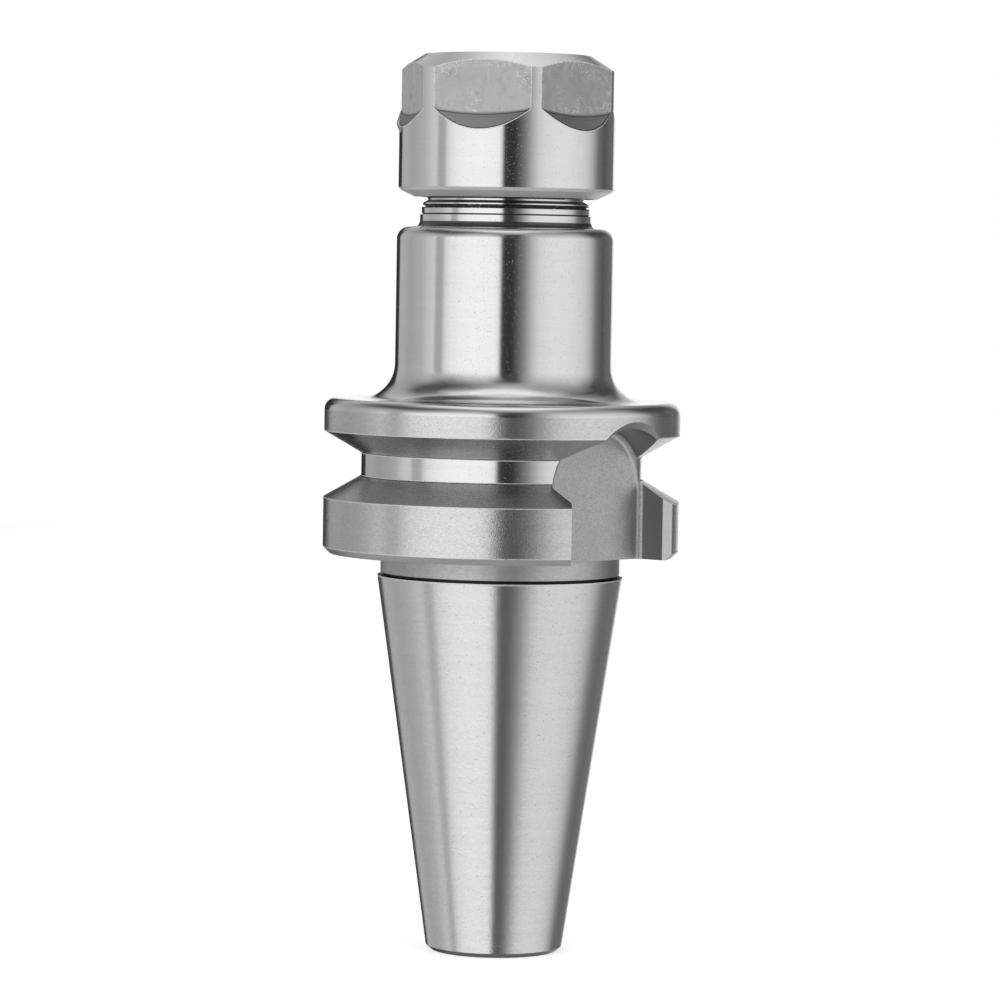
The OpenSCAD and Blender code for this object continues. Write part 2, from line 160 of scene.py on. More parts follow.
class Nodes:
    """Short calls for building the node tree of one material or world."""

    def __init__(self, owner, output="ShaderNodeOutputMaterial"):
        owner.use_nodes = True
        self.owner = owner
        self.tree = owner.node_tree
        self.tree.nodes.clear()
        self.out = self.add(output)

    def add(self, kind, **settings):
        node = self.tree.nodes.new(kind)
        for key, value in settings.items():
            setattr(node, key, value)
        return node

    def link(self, source, target):
        self.tree.links.new(source, target)

    def put(self, socket, value):
        if isinstance(value, bpy.types.NodeSocket):
            self.link(value, socket)
        elif value is not None:
            socket.default_value = value

    def math(self, operation, a, b=None):
        node = self.add("ShaderNodeMath", operation=operation)
        self.put(node.inputs[0], a)
        self.put(node.inputs[1], b)
        return node.outputs[0]

    def hypotenuse(self, a, b):
        return self.math("SQRT", self.math("ADD", self.math("MULTIPLY", a, a), self.math("MULTIPLY", b, b)))

    def position(self):
        return self.add("ShaderNodeTexCoord").outputs["Object"]

    def coordinates(self):
        split = self.add("ShaderNodeSeparateXYZ")
        self.link(self.position(), split.inputs[0])
        return split.outputs

    def stretched(self, scale):
        node = self.add("ShaderNodeMapping")
        self.link(self.position(), node.inputs["Vector"])
        node.inputs["Scale"].default_value = scale
        return node.outputs["Vector"]

    def noise(self, scale, detail=2.0, roughness=0.5, distortion=0.0, stretch=(1, 1, 1)):
        node = self.add("ShaderNodeTexNoise")
        self.link(self.stretched(stretch), node.inputs["Vector"])
        node.inputs["Scale"].default_value = scale
        node.inputs["Detail"].default_value = detail
        node.inputs["Roughness"].default_value = roughness
        node.inputs["Distortion"].default_value = distortion
        return node.outputs["Fac"]

    def fit(self, value, low, high, to_low=0.0, to_high=1.0):
        node = self.add("ShaderNodeMapRange", interpolation_type="SMOOTHSTEP")
        self.link(value, node.inputs["Value"])
        node.inputs["From Min"].default_value = low
        node.inputs["From Max"].default_value = high
        node.inputs["To Min"].default_value = to_low
        node.inputs["To Max"].default_value = to_high
        return node.outputs["Result"]

    def stripe(self, value, start, full, fade, end):
        """1 between full and fade, running out to 0 at start and end."""
        return self.math("MULTIPLY", self.fit(value, start, full), self.fit(value, end, fade))

    def blend(self, share, a, b):
        node = self.add("ShaderNodeMix", data_type="RGBA")
        self.put(node.inputs["Factor"], share)
        self.put(node.inputs["A"], a)
        self.put(node.inputs["B"], b)
        return node.outputs["Result"]

    def blend_value(self, share, a, b):
        node = self.add("ShaderNodeMix", data_type="FLOAT")
        self.put(node.inputs["Factor"], share)
        self.put(node.inputs["A"], a)
        self.put(node.inputs["B"], b)
        return node.outputs["Result"]

    def multiply(self, a, b):
        node = self.add("ShaderNodeMix", data_type="RGBA", blend_type="MULTIPLY")
        node.inputs["Factor"].default_value = 1.0
        self.put(node.inputs["A"], a)
        self.put(node.inputs["B"], b)
        return node.outputs["Result"]

    def bump(self, height, strength, distance, under=None):
        node = self.add("ShaderNodeBump")
        node.inputs["Strength"].default_value = strength
        node.inputs["Distance"].default_value = distance
        self.link(height, node.inputs["Height"])
        if under is not None:
            self.link(under, node.inputs["Normal"])
        return node.outputs["Normal"]

    def white_where_seen(self):
        """1 where the camera, a mirror or glass sees the surface, and 0 where it only lights."""
        path = self.add("ShaderNodeLightPath")
        seen = self.math("MAXIMUM", path.outputs["Is Camera Ray"], path.outputs["Is Glossy Ray"])
        return self.math("MAXIMUM", seen, path.outputs["Is Transmission Ray"])


def new_material(name):
    return Nodes(bpy.data.materials.new(name))


# ---------------------------------------------------------------- finishes
RING_RELIEF = 0.012 * MM
GRAIN_RELIEF = 0.03 * MM
PIT_RELIEF = 0.06 * MM
PIT_BUMP = 0.7
TONE_STRETCH = (60.0, 60.0, 900.0)
BLOTCH_SHADE = 0.62             # of the base colour
GRAIN_SHADE = 0.55


def steel(name, base, roughness, aniso=0.0, ring=0.0, ring_scale=9000.0, ring_run=90.0, tone=0.0,
          pits=0.0, pit_scale=2600.0, pit_size=0.30, pit_shade=0.35, blotch=0.0, blotch_scale=220.0,
          grain=0.0, grain_scale=9000.0, edge=None, metal=1.0):
    """One finish of bare steel: fine rings round the axis, grain, blotches and small pits."""
    n = new_material(name)
    shader = n.add("ShaderNodeBsdfPrincipled")
    n.link(shader.outputs[0], n.out.inputs["Surface"])
    shader.inputs["Metallic"].default_value = metal
    shader.inputs["Anisotropic"].default_value = aniso
    if aniso:
        shader.inputs["Anisotropic Rotation"].default_value = 0.25
        tangent = n.add("ShaderNodeTangent", direction_type="RADIAL", axis="Z")
        n.link(tangent.outputs[0], shader.inputs["Tangent"])
    colour, rough, normal = grey(base), roughness, None
    if tone:
        wide = n.fit(n.noise(1.0, 3.0, 0.6, 0.0, TONE_STRETCH), 0.32, 0.68)
        colour = n.blend(wide, grey(base * (1 - tone)), grey(min(1, base * (1 + tone))))
    if blotch:
        cloud = n.noise(blotch_scale, 5.0, 0.62, 1.2)
        colour = n.blend(n.fit(cloud, 0.38, 0.66, 0.0, blotch), colour, grey(base * BLOTCH_SHADE))
    if ring:
        rings = n.noise(1.0, 3.0, 0.65, 0.0, (ring_run, ring_run, ring_scale))
        streak = n.fit(rings, 0.36, 0.64, 1 - ring, 1.0)
        colour = n.multiply(colour, n.blend(streak, BLACK, WHITE))
        rough = n.fit(rings, 0.30, 0.70, roughness * 1.18, roughness * 0.84)
        normal = n.bump(rings, min(1.0, ring * 2.2), RING_RELIEF)
    if grain:
        fine = n.noise(grain_scale, 2.0, 0.6)
        colour = n.blend(n.fit(fine, 0.30, 0.72, 0.0, grain), colour, grey(base * GRAIN_SHADE))
        normal = n.bump(fine, min(1.0, grain * 1.6), GRAIN_RELIEF, normal)
    if pits:
        cells = n.add("ShaderNodeTexVoronoi")
        n.link(n.position(), cells.inputs["Vector"])
        cells.inputs["Scale"].default_value = pit_scale
        cells.inputs["Randomness"].default_value = 1.0
        chance = n.add("ShaderNodeSeparateColor")
        n.link(cells.outputs["Color"], chance.inputs[0])
        here = n.fit(chance.outputs[0], 1 - pits, 1 - pits * 0.7)
        spot = n.fit(cells.outputs["Distance"], pit_size, pit_size * 0.55)
        mask = n.math("MULTIPLY", here, spot)
        colour = n.blend(mask, colour, grey(base * pit_shade))
        normal = n.bump(n.math("SUBTRACT", 1.0, mask), PIT_BUMP, PIT_RELIEF, normal)
    # The edge hook adds fine marks, among them painted highlights and painted shade.
    if edge is not None:
        colour, rough = edge(n, colour, rough)
    n.put(shader.inputs["Base Color"], colour)
    n.put(shader.inputs["Roughness"], rough)
    if normal is not None:
        n.link(normal, shader.inputs["Normal"])
    return n.owner


class NutPlace:
    """Distances on the nut, in metres, from the edges that the mill left."""

    def __init__(self, n):
        x, y, z = n.coordinates()
        self.radius = n.hypotenuse(x, y)
        turn = n.math("SUBTRACT", n.math("ARCTAN2", y, x), math.radians(NUT_TURN))
        step = math.radians(FLAT_STEP)
        near = n.math("SUBTRACT", n.math("FLOORED_MODULO", n.math("ADD", turn, step / 2), step), step / 2)
        across = n.math("MULTIPLY", self.radius, n.math("COSINE", near))
        along = n.math("MULTIPLY", self.radius, n.math("SINE", near))
        shallow = n.math("COSINE", n.math("SUBTRACT", turn, math.radians(SHALLOW_TURN - NUT_TURN)))
        lift = n.math("MULTIPLY", n.math("GREATER_THAN", shallow, math.cos(step / 2)), SHALLOW_CUT)
        deep = n.math("SUBTRACT", n.math("SUBTRACT", across, FLAT_RADIUS), lift)
        self.inside = n.fit(deep, -0.06 * MM, -0.01 * MM)
        self.normal = n.math("SUBTRACT", turn, near)
        drop = n.math("SUBTRACT", z, FLAT_BOTTOM + MILL_RADIUS)
        self.below = n.math("SUBTRACT", n.hypotenuse(along, drop), MILL_RADIUS)
        self.outside = n.math("SUBTRACT", self.below, n.math("MULTIPLY", deep, MILL_SLOPE))
        past_face = n.math("SUBTRACT", self.radius, NUT_FACE_RADIUS)
        cone = n.math("MULTIPLY", past_face, math.tan(math.radians(NUT_CHAMFER)))
        self.under = n.math("SUBTRACT", n.math("SUBTRACT", NUT_FACE_Z, cone), z)


def broken(n, low=0.36, high=0.56, scale=2600.0):
    """Gaps along a fine line."""
    return n.fit(n.noise(scale, 3.0, 0.7), low, high)


def flat_curls_and_painted_light(n, colour, rough):
    """A wrench flat: curls left by the mill, a broken burr round its rim painted bright as a highlight where
    it catches the light, and painted light that makes the flats on one side of the nut paler and on the
    other darker.
    """
    place = NutPlace(n)
    # Painted highlight: a broken bright line round the rim, where the burr catches the light.
    sides = n.fit(place.radius, NUT_RADIUS - 0.07 * MM, NUT_RADIUS - 0.02 * MM)
    top = n.fit(place.under, 0.16 * MM, 0.04 * MM)
    rim = n.math("MULTIPLY", n.math("MAXIMUM", sides, top), broken(n))
    curl = n.math("ABSOLUTE", n.math("SUBTRACT", n.noise(640.0, 3.0, 0.6, 2.4), 0.5))
    cloud = n.fit(n.noise(260.0, 2.0, 0.5), 0.46, 0.60)
    patch = n.math("MAXIMUM", cloud, n.fit(place.under, 1.5 * MM, 0.4 * MM, 0.0, 0.7))
    patch = n.math("MULTIPLY", patch, n.fit(n.noise(900.0, 1.0, 0.5), 0.34, 0.52))
    curls = n.math("MULTIPLY", n.fit(curl, 0.032, 0.008), patch)
    shade = n.math("MULTIPLY", n.fit(n.noise(520.0, 3.0, 0.6, 2.2), 0.53, 0.60), patch)
    # Painted light: flats that face this side of the nut are painted paler, and flats that face away are
    # painted darker.
    painted_light_side = n.math("COSINE", n.math("SUBTRACT", place.normal, math.radians(PAINTED_LIGHT_TURN - NUT_TURN)))
    colour = n.blend(n.fit(painted_light_side, 0.50, 0.95, 0.0, 0.75), colour, grey(0.99))
    colour = n.blend(n.fit(painted_light_side, 0.0, -0.55, 0.0, 0.10), colour, BLACK)
    colour = n.blend(n.math("MULTIPLY", shade, 0.34), colour, grey(0.26))
    colour = n.blend(n.math("MULTIPLY", curls, 0.55), colour, grey(0.92))
    return n.blend(rim, colour, grey(0.96)), n.fit(rim, 0.0, 1.0, 0.42, 0.62)


def ledge_edge(n, colour, rough):
    """The sloping run-out: two fine steps under the flat and a dark lower rim."""
    place = NutPlace(n)
    step = n.stripe(place.below, 0.16 * MM, 0.22 * MM, 0.32 * MM, 0.40 * MM)
    second = n.stripe(place.below, 0.56 * MM, 0.62 * MM, 0.68 * MM, 0.76 * MM)
    light = n.fit(place.below, 0.20 * MM, 0.12 * MM)
    dark = n.fit(place.radius, NUT_RADIUS - 0.15 * MM, NUT_RADIUS - 0.07 * MM)
    colour = n.blend(n.math("MULTIPLY", light, 0.8), colour, grey(0.66))
    colour = n.blend(n.math("MULTIPLY", step, 0.75), colour, grey(0.14))
    colour = n.blend(n.math("MULTIPLY", second, 0.35), colour, grey(0.22))
    return n.blend(n.math("MULTIPLY", dark, 0.8), colour, grey(0.10)), rough


def skirt_burr_highlight(n, colour, rough):
    """A broken bright line on the skirt along each run-out and along the fine edge beside each flat: a burr
    there, painted bright as a highlight where it catches the light.
    """
    place = NutPlace(n)
    line = n.stripe(place.outside, -0.10 * MM, -0.02 * MM, 0.10 * MM, 0.19 * MM)
    share = n.math("MULTIPLY", n.math("MULTIPLY", line, broken(n, 0.28, 0.46)), place.inside)
    return n.blend(share, colour, grey(0.99)), n.fit(share, 0.0, 1.0, 0.10, 0.60)


def painted_light_lines(along, marks):
    """Thin broken lines round the axis: pale ones are painted highlights where an edge catches the light,
    dark ones are painted shade in fine grooves and corners.

    Each mark is a place, a half width, both in millimetres, and a grey."""
    def draw(n, colour, rough):
        x, y, z = n.coordinates()
        value = n.hypotenuse(x, y) if along == "radius" else z
        for at, width, shade in marks:
            away = n.math("ABSOLUTE", n.math("SUBTRACT", value, at * MM))
            share = n.math("MULTIPLY", n.fit(away, width * MM, width * MM * 0.5), broken(n, 0.26, 0.44))
            colour = n.blend(share, colour, grey(shade))
            rough = n.blend_value(share, rough, 0.60 if shade > 0.5 else 0.40)
        return colour, rough
    return draw


# Painted highlights: pale broken lines along the edges of the flange's lands, the groove floor and the top
# of the taper.
LAND_EDGE_HIGHLIGHTS = painted_light_lines("height", ((10.0, 0.16, 0.99), (18.55, 0.16, 0.99), (3.6, 0.16, 0.99)))
GROOVE_FLOOR_HIGHLIGHTS = painted_light_lines("height", ((12.8, 0.13, 0.99), (15.75, 0.13, 0.99)))
TAPER_EDGE_HIGHLIGHT = painted_light_lines("height", ((0.0, 0.26, 0.99),))
# Painted shade: dark broken lines where each side of the groove meets its floor, and in the neck's fine
# grooves.
GROOVE_CORNER_SHADE = painted_light_lines("radius", ((18.15, 0.20, 0.08),))
NECK_GROOVE_SHADE = painted_light_lines("height", ((46.63, 0.13, 0.02), (47.46, 0.11, 0.02), (47.80, 0.12, 0.02)))

FINE_PITS = dict(pits=0.05, pit_scale=7600.0, pit_size=0.32, pit_shade=0.88)
MORE_FINE_PITS = dict(FINE_PITS, pits=0.08)
GROUND_PITS = dict(pits=0.05, pit_scale=4600.0, pit_shade=0.5)
TURNED_PITS = dict(pits=0.05, pit_scale=4400.0, pit_shade=0.5)
POLISHED = dict(roughness=0.10, aniso=0.3, ring=0.012, ring_scale=6000.0, ring_run=500.0, tone=0.01)

FINISHES = {
    "polished": dict(name="steel_polished", base=0.80, **POLISHED, **MORE_FINE_PITS),
    # The nut's skirt carries painted highlights along the burrs at the run-outs.
    "skirt": dict(name="steel_polished_nut", base=0.80, edge=skirt_burr_highlight, **POLISHED, **FINE_PITS),
    # The neck carries painted shade in its fine grooves.
    "neck": dict(name="steel_polished_neck", base=0.82, edge=NECK_GROOVE_SHADE, **POLISHED, **FINE_PITS),
    "under": dict(name="steel_nut_under", base=0.99, roughness=0.45, aniso=0.2, ring=0.05, ring_run=1400.0,
                  grain=0.06, metal=0.4),
    # The taper carries a painted highlight along its top edge.
    "taper": dict(name="steel_taper_ground", base=0.80, roughness=0.18, aniso=0.6, ring=0.05,
                  ring_scale=9500.0, ring_run=1300.0, tone=0.015, pits=0.03, pit_scale=4600.0, pit_shade=0.6,
                  grain=0.17, grain_scale=6200.0, metal=0.84, edge=TAPER_EDGE_HIGHLIGHT),
    # The lands carry painted highlights along their edges.
    "land": dict(name="steel_flange_ground", base=0.77, roughness=0.22, aniso=0.55, ring=0.12,
                 ring_scale=8000.0, ring_run=1900.0, tone=0.02, grain=0.27, grain_scale=5800.0, metal=0.92,
                 edge=LAND_EDGE_HIGHLIGHTS, **GROUND_PITS),
    # The groove floor carries painted highlights along its edges.
    "floor": dict(name="steel_groove_floor", base=0.80, roughness=0.10, aniso=0.3, ring=0.03, ring_run=300.0,
                  tone=0.02, edge=GROOVE_FLOOR_HIGHLIGHTS, **FINE_PITS),
    # The groove's sides carry painted shade where they meet the floor.
    "v_side": dict(name="steel_groove_side", base=0.60, roughness=0.24, aniso=0.4, ring=0.10,
                   ring_scale=8000.0, ring_run=1400.0, tone=0.03, grain=0.30, grain_scale=5800.0,
                   edge=GROOVE_CORNER_SHADE, **TURNED_PITS),
    "round": dict(name="steel_flange_round", base=0.78, roughness=0.14, aniso=0.4, ring=0.03,
                  ring_scale=7000.0, ring_run=120.0, grain=0.04),
    "matte": dict(name="steel_turned_matte", base=0.76, roughness=0.38, aniso=0.3, ring=0.09,
                  ring_run=1400.0, tone=0.03, grain=0.24, **TURNED_PITS),
    "relief": dict(name="steel_relief_turned", base=0.63, roughness=0.44, aniso=0.3, ring=0.12,
                   ring_run=1400.0, tone=0.03, grain=0.26),
    "slot": dict(name="steel_milled_slot", base=0.66, roughness=0.42, grain=0.55, grain_scale=4800.0,
                 blotch=0.14, **GROUND_PITS),
    "arch": dict(name="steel_arch_edge", base=0.53, roughness=0.50, grain=0.20, grain_scale=7000.0,
                 **GROUND_PITS),
    # Darker than the slot's floor: painted shade on the slot's walls.
    "slot_wall": dict(name="steel_slot_wall_painted_shade", base=0.34, roughness=0.34, grain=0.22, pits=0.04,
                      pit_scale=4600.0),
    # Painted highlight: the chamfer along the slot's sides is painted brighter than the rest of the steel.
    "edge": dict(name="steel_chamfer_painted_highlight", base=0.95, roughness=0.62, ring=0.03, grain=0.10,
                 grain_scale=5200.0),
    "dark": dict(name="steel_dark_end", base=0.30, roughness=0.34, aniso=0.3, ring=0.12, grain=0.2),
    # Near black: painted shade on the foot of the neck and on the band of thread root under the nut.
    "foot": dict(name="steel_neck_foot_painted_shade", base=0.15, roughness=0.30, aniso=0.3, ring=0.12, grain=0.2),
    # Near black: painted shade in the undercut above the taper and in the neck's two fine grooves.
    "shade": dict(name="steel_undercut_painted_shade", base=0.07, roughness=0.5, grain=0.2),
    "bore": dict(name="steel_bore", base=0.46, roughness=0.36, aniso=0.4, ring=0.18, ring_scale=6000.0,
                 grain=0.12),
    "thread": dict(name="steel_thread", base=0.60, roughness=0.20, aniso=0.3, ring=0.10,
                   ring_scale=12000.0, grain=0.08),
    # The wrench flats carry painted highlights on their rims and painted light by side.
    "flat": dict(name="steel_wrench_flat", base=0.53, roughness=0.42, blotch=0.30, blotch_scale=420.0,
                 grain=0.16, pits=0.02, pit_scale=1500.0, edge=flat_curls_and_painted_light),
    "ledge": dict(name="steel_flat_runout", base=0.46, roughness=0.40, grain=0.2, edge=ledge_edge),
    "burr": dict(name="steel_burr", base=0.62, roughness=0.36, grain=0.2, pits=0.05, pit_scale=4600.0),
    "collet": dict(name="steel_spring", base=0.60, roughness=0.24, aniso=0.5, ring=0.12, tone=0.04,
                   grain=0.06),
}
made = {}


def material(zone):
    """The zone's finish, made when it is first asked for."""
    if zone not in made:
        made[zone] = steel(**FINISHES[zone])
    return made[zone]


# ---------------------------------------------------------------- mesh helpers
WELD = 0.0002 * MM
SAME_PLACE = 0.001 * MM         # within which two vertices are the same one
ON_AXIS = 1e-6                  # radius, in metres or millimetres, below which nothing faces outwards
SHARP = 0.80                    # cosine between two faces below which their edge is sharp
TANGENT = 0.985                 # cosine within which a rounding runs into a plain surface
SEAM = 0.994                    # cosine within which two normals belong to one surface
LEVEL = 0.99999                 # upward part of a level face's normal
UPRIGHT = 0.03                  # upward part of an upright face's normal, at most
ROUND_SLACK = 0.03 * MM
CYLINDER_SLACK = 0.02 * MM
ROUNDS = (                      # turned roundings: centre radius, centre height, radius, bulge or hollow
    (21.5 * MM, 21.3 * MM, 1.5 * MM, 1),
    (18.5 * MM, 27.3 * MM, 4.5 * MM, -1),
    (12.4 * MM, 43.4 * MM, 1.6 * MM, 1),
)


def radial(c, n):
    """The outward part of a normal at a place."""
    length = math.hypot(c.x, c.y)
    return (c.x * n.x + c.y * n.y) / length if length > ON_AXIS else 0.0


def corner_normals(mesh):
    normals = np.empty(len(mesh.loops) * 3, dtype=np.float32)
    mesh.corner_normals.foreach_get("vector", normals)
    return normals.reshape(-1, 3)


def copy_of(node, name):
    """A CAD node, and a welded copy of its mesh as an object of its own."""
    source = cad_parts[node]
    mesh = source.data.copy()
    mesh.name = name
    mesh.materials.clear()
    obj = new_object(name, mesh)
    work = bmesh.new()
    work.from_mesh(mesh)
    bmesh.ops.remove_doubles(work, verts=work.verts, dist=WELD)
    work.to_mesh(mesh)
    work.free()
    return source, obj


def plain_directions(mesh):
    """The exact outward directions at vertices that touch a level face or a cylinder round the axis."""
    exact = {}
    for face in mesh.polygons:
        places = [mesh.vertices[k].co for k in face.vertices]
        radii = [math.hypot(p.x, p.y) for p in places]
        if abs(face.normal.z) > LEVEL:
            for k in face.vertices:
                exact.setdefault(k, []).append(Vector((0, 0, math.copysign(1, face.normal.z))))
        elif abs(face.normal.z) < UPRIGHT and max(radii) - min(radii) < CYLINDER_SLACK:
            outward = math.copysign(1, radial(face.center, face.normal))
            for k, p, r in zip(face.vertices, places, radii):
                exact.setdefault(k, []).append(Vector((p.x / r, p.y / r, 0)) * outward)
    return exact


def round_directions(place):
    """The exact outward direction at a point on one of the turned roundings."""
    r = math.hypot(place.x, place.y)
    for middle, height, size, bulge in ROUNDS:
        out, up = (r - middle) * bulge, (place.z - height) * bulge
        if abs(math.hypot(out, up) - size) < ROUND_SLACK and min(out, up) > -ROUND_SLACK:
            out, up = max(out, 0.0), max(up, 0.0)
            return [Vector((place.x / r * out, place.y / r * out, up)).normalized()]
    return []


def smooth_direction(normal, candidates, exact, turned):
    """The surface's own direction at one corner of a face, or the face's where the edge is sharp."""
    for direction in turned:
        if direction.dot(normal) > SHARP:
            return direction
    best, score = normal, SHARP
    for candidate in candidates:
        dot = candidate.dot(normal)
        if dot > score:
            best, score = candidate, dot
    for plain in exact:
        if plain.dot(best) > TANGENT:
            return plain
    same = [candidate for candidate in candidates if candidate.dot(best) > SEAM]
    return sum(same, Vector()).normalized() if same else best


def dress_normals(obj, source):
    """Gives each corner the CAD surface's own normal again, where the corner is still on that surface."""
    old = source.data
    tree = KDTree(len(old.vertices))
    for v in old.vertices:
        tree.insert(v.co, v.index)
    tree.balance()
    by_vertex = {}
    kept = corner_normals(old)
    for loop in old.loops:
        by_vertex.setdefault(loop.vertex_index, set()).add(tuple(np.round(kept[loop.index], 5)))
    mesh = obj.data
    found = {}
    for v in mesh.vertices:
        near = tree.find_range(v.co, SAME_PLACE)
        found[v.index] = [Vector(t) for _, i, _ in near for t in sorted(by_vertex.get(i, ()))]
    exact = plain_directions(mesh)
    turned = [round_directions(v.co) for v in mesh.vertices]
    out = [None] * len(mesh.loops)
    for face in mesh.polygons:
        face.use_smooth = True
        for k in face.loop_indices:
            v = mesh.loops[k].vertex_index
            out[k] = tuple(smooth_direction(face.normal, found[v], exact.get(v, ()), turned[v]))
    mesh.normals_split_custom_set(out)


def helix_cutter(name, start, end, root, mouth):
    """A closed V-shaped bar wound round the axis, to cut a thread."""
    half = THREAD_ROOT_HALF + (mouth - root) * math.tan(math.radians(THREAD_FLANK))
    section = ((root, -THREAD_ROOT_HALF), (mouth, -half), (mouth, half), (root, THREAD_ROOT_HALF))
    turns = (end - start) / THREAD_PITCH
    work = bmesh.new()
    rows = []
    for i in range(int(turns * THREAD_STEPS) + 1):
        a = 2 * math.pi * i / THREAD_STEPS
        z = start + THREAD_PITCH * i / THREAD_STEPS
        rows.append([work.verts.new((r * math.cos(a), r * math.sin(a), z + dz)) for r, dz in section])
    close_bar(work, rows)
    bmesh.ops.recalc_face_normals(work, faces=work.faces)
    return new_object(name, new_mesh(name, work))


def cut(obj, tool):
    """Takes the tool's shape out of the object, and the tool out of the scene."""
    change = obj.modifiers.new("cut", "BOOLEAN")
    change.operation = "DIFFERENCE"
    change.solver = "EXACT"
    change.object = tool
    bpy.context.view_layer.update()
    seen = obj.evaluated_get(bpy.context.evaluated_depsgraph_get())
    mesh = bpy.data.meshes.new_from_object(seen)
    obj.modifiers.clear()
    old = obj.data
    obj.data = mesh
    bpy.data.meshes.remove(old)
    bpy.data.objects.remove(tool)


def assign(obj, zone_of):
    """Gives each face the finish of its zone, which is worked out in millimetres."""
    names = []
    mesh = obj.data
    mesh.materials.clear()
    for face in mesh.polygons:
        c = face.center / MM
        corners = [mesh.vertices[k].co / MM for k in face.vertices]
        zone = zone_of(math.hypot(c.x, c.y), c, face.normal, [math.hypot(v.x, v.y) for v in corners])
        if zone not in names:
            names.append(zone)
            mesh.materials.append(material(zone))
        face.material_index = names.index(zone)


# ---------------------------------------------------------------- holder, heights and radii in millimetres
INNER_R = 8.3                   # everything nearer the axis is a bore
SEAT_R = 9.3                    # faces that look inwards up to here are the seat
TAPER_BOTTOM = -48.0            # above the chamfer at the small end
TAPER_TOP = -0.05
UNDERCUT_R = 15.4
UNDERCUT_TOP = 0.45
RELIEF_TOP = 2.7
LOWER_CHAMFER_TOP = 3.61
FLANGE_R = 23.0
GROOVE_FLOOR_R = 18.15
ON_CYLINDER = 0.02
SLOT_CHAMFER_X = 17.2           # farther out than this, a slanting face is the slot's chamfer
ARCH_Z = 15.8
ROUND_FROM_Z = 21.2
FLANGE_TOP = 22.75
FLANGE_TOP_R = 21.45
BODY_TOP = 44.99
FOOT_TOP = 45.72
FOOT_R = 12.35
# The two fine grooves of the neck are painted near black as shade.
COLLAR_SHADE = ((46.53, 46.72, 10.86), (47.48, 47.77, 10.72))   # low, high and radius of two fine grooves
LAND_FOOT = (48.03, 48.42)
THREAD_FROM = 48.66
FACES_UP = 0.999                # upward part of the normal


def neck_zone(r, z, n):
    # The foot of the neck and the band of thread root under the nut are painted near black as shade.
    if z < FOOT_TOP and n.z > 0.05 and r < FOOT_R:
        return "foot"
    if any(low < z < high and r < limit for low, high, limit in COLLAR_SHADE):
        return "shade"
    if LAND_FOOT[0] < z < LAND_FOOT[1]:
        return "foot"
    return "thread" if z > THREAD_FROM else "neck"


def on_cylinder(radius, n, radii):
    return all(abs(r - radius) < ON_CYLINDER for r in radii) and abs(n.z) < 0.05


def flange_zone(c, n, radii):
    if c.z > ROUND_FROM_Z:
        return "polished" if n.z > FACES_UP else "round"
    if on_cylinder(FLANGE_R, n, radii):
        return "land"
    if on_cylinder(GROOVE_FLOOR_R, n, radii):
        return "floor"
    if c.z < LOWER_CHAMFER_TOP and n.z < -0.3:
        return "matte"
    if abs(n.z) > 0.8 and radial(c, n) > 0.3:
        return "v_side"
    # Below the arch, the slot's chamfer gets the painted highlight.
    if abs(c.x) > SLOT_CHAMFER_X and 0.3 < abs(n.x) < 0.92:
        return "arch" if c.z > ARCH_Z else "edge"
    # The slot's walls get the darker finish, painted shade.
    return "slot" if abs(n.x) > 0.3 else "slot_wall"


def holder_zone(r, c, n, radii):
    z = c.z
    out = radial(c, n)
    if out < -0.2 and r < SEAT_R or r < INNER_R:
        return "bore"
    if z > BODY_TOP:
        return neck_zone(r, z, n)
    if z > FLANGE_TOP and (r < FLANGE_TOP_R or n.z > FACES_UP):
        return "polished"
    if z > RELIEF_TOP:
        return flange_zone(c, n, radii)
    if z > TAPER_TOP:
        # The undercut above the taper is painted near black as shade.
        shaded = r < UNDERCUT_R or z < UNDERCUT_TOP and abs(n.z) > 0.9
        return "shade" if shaded else "relief"
    return "taper" if z > TAPER_BOTTOM and out > 0.9 else "dark"


def make_holder():
    source, obj = copy_of("holder_body", "holder_steel")
    tool = helix_cutter("thread_cutter", THREAD_START, THREAD_END, THREAD_RADIUS - THREAD_DEPTH,
                        THREAD_RADIUS + CUTTER_MARGIN)
    cut(obj, tool)
    dress_normals(obj, source)
    assign(obj, holder_zone)
    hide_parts("holder_body")
    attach(obj, "holder")


# ---------------------------------------------------------------- nut, heights and radii in millimetres
NUT_OPENING_R = 10.6            # faces nearer the axis that don't look up are inside
NUT_THREAD_TOP = 57.0
FLAT_FROM_Z = 59.4
FLAT_EDGE_R = 13.895
LEDGE_FROM_Z = 57.0
LEDGE_TO_Z = 61.0


def faces_flat(n):
    """Whether a normal is within 0.3 degrees of a wrench flat's."""
    turn = math.degrees(math.atan2(n.y, n.x)) - NUT_TURN
    return abs((turn + FLAT_STEP / 2) % FLAT_STEP - FLAT_STEP / 2) < 0.3


def nut_zone(r, c, n, radii):
    z = c.z
    if radial(c, n) < -0.1 or r < NUT_OPENING_R and n.z < 0.2:
        return "thread" if z < NUT_THREAD_TOP else "bore"
    if abs(n.z) < 0.02 and z > FLAT_FROM_Z and faces_flat(n) and r < FLAT_EDGE_R:
        return "flat"
    if 0.3 < n.z < 0.82 and LEDGE_FROM_Z < z < LEDGE_TO_Z:
        return "ledge"
    if n.z > 0.97:
        return "matte"
    return "under" if n.z < -0.2 else "skirt"


def make_nut():
    source, obj = copy_of("clamping_nut", "nut_steel_piece")
    dress_normals(obj, source)
    assign(obj, nut_zone)
    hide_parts("clamping_nut")
    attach(obj, "nut")


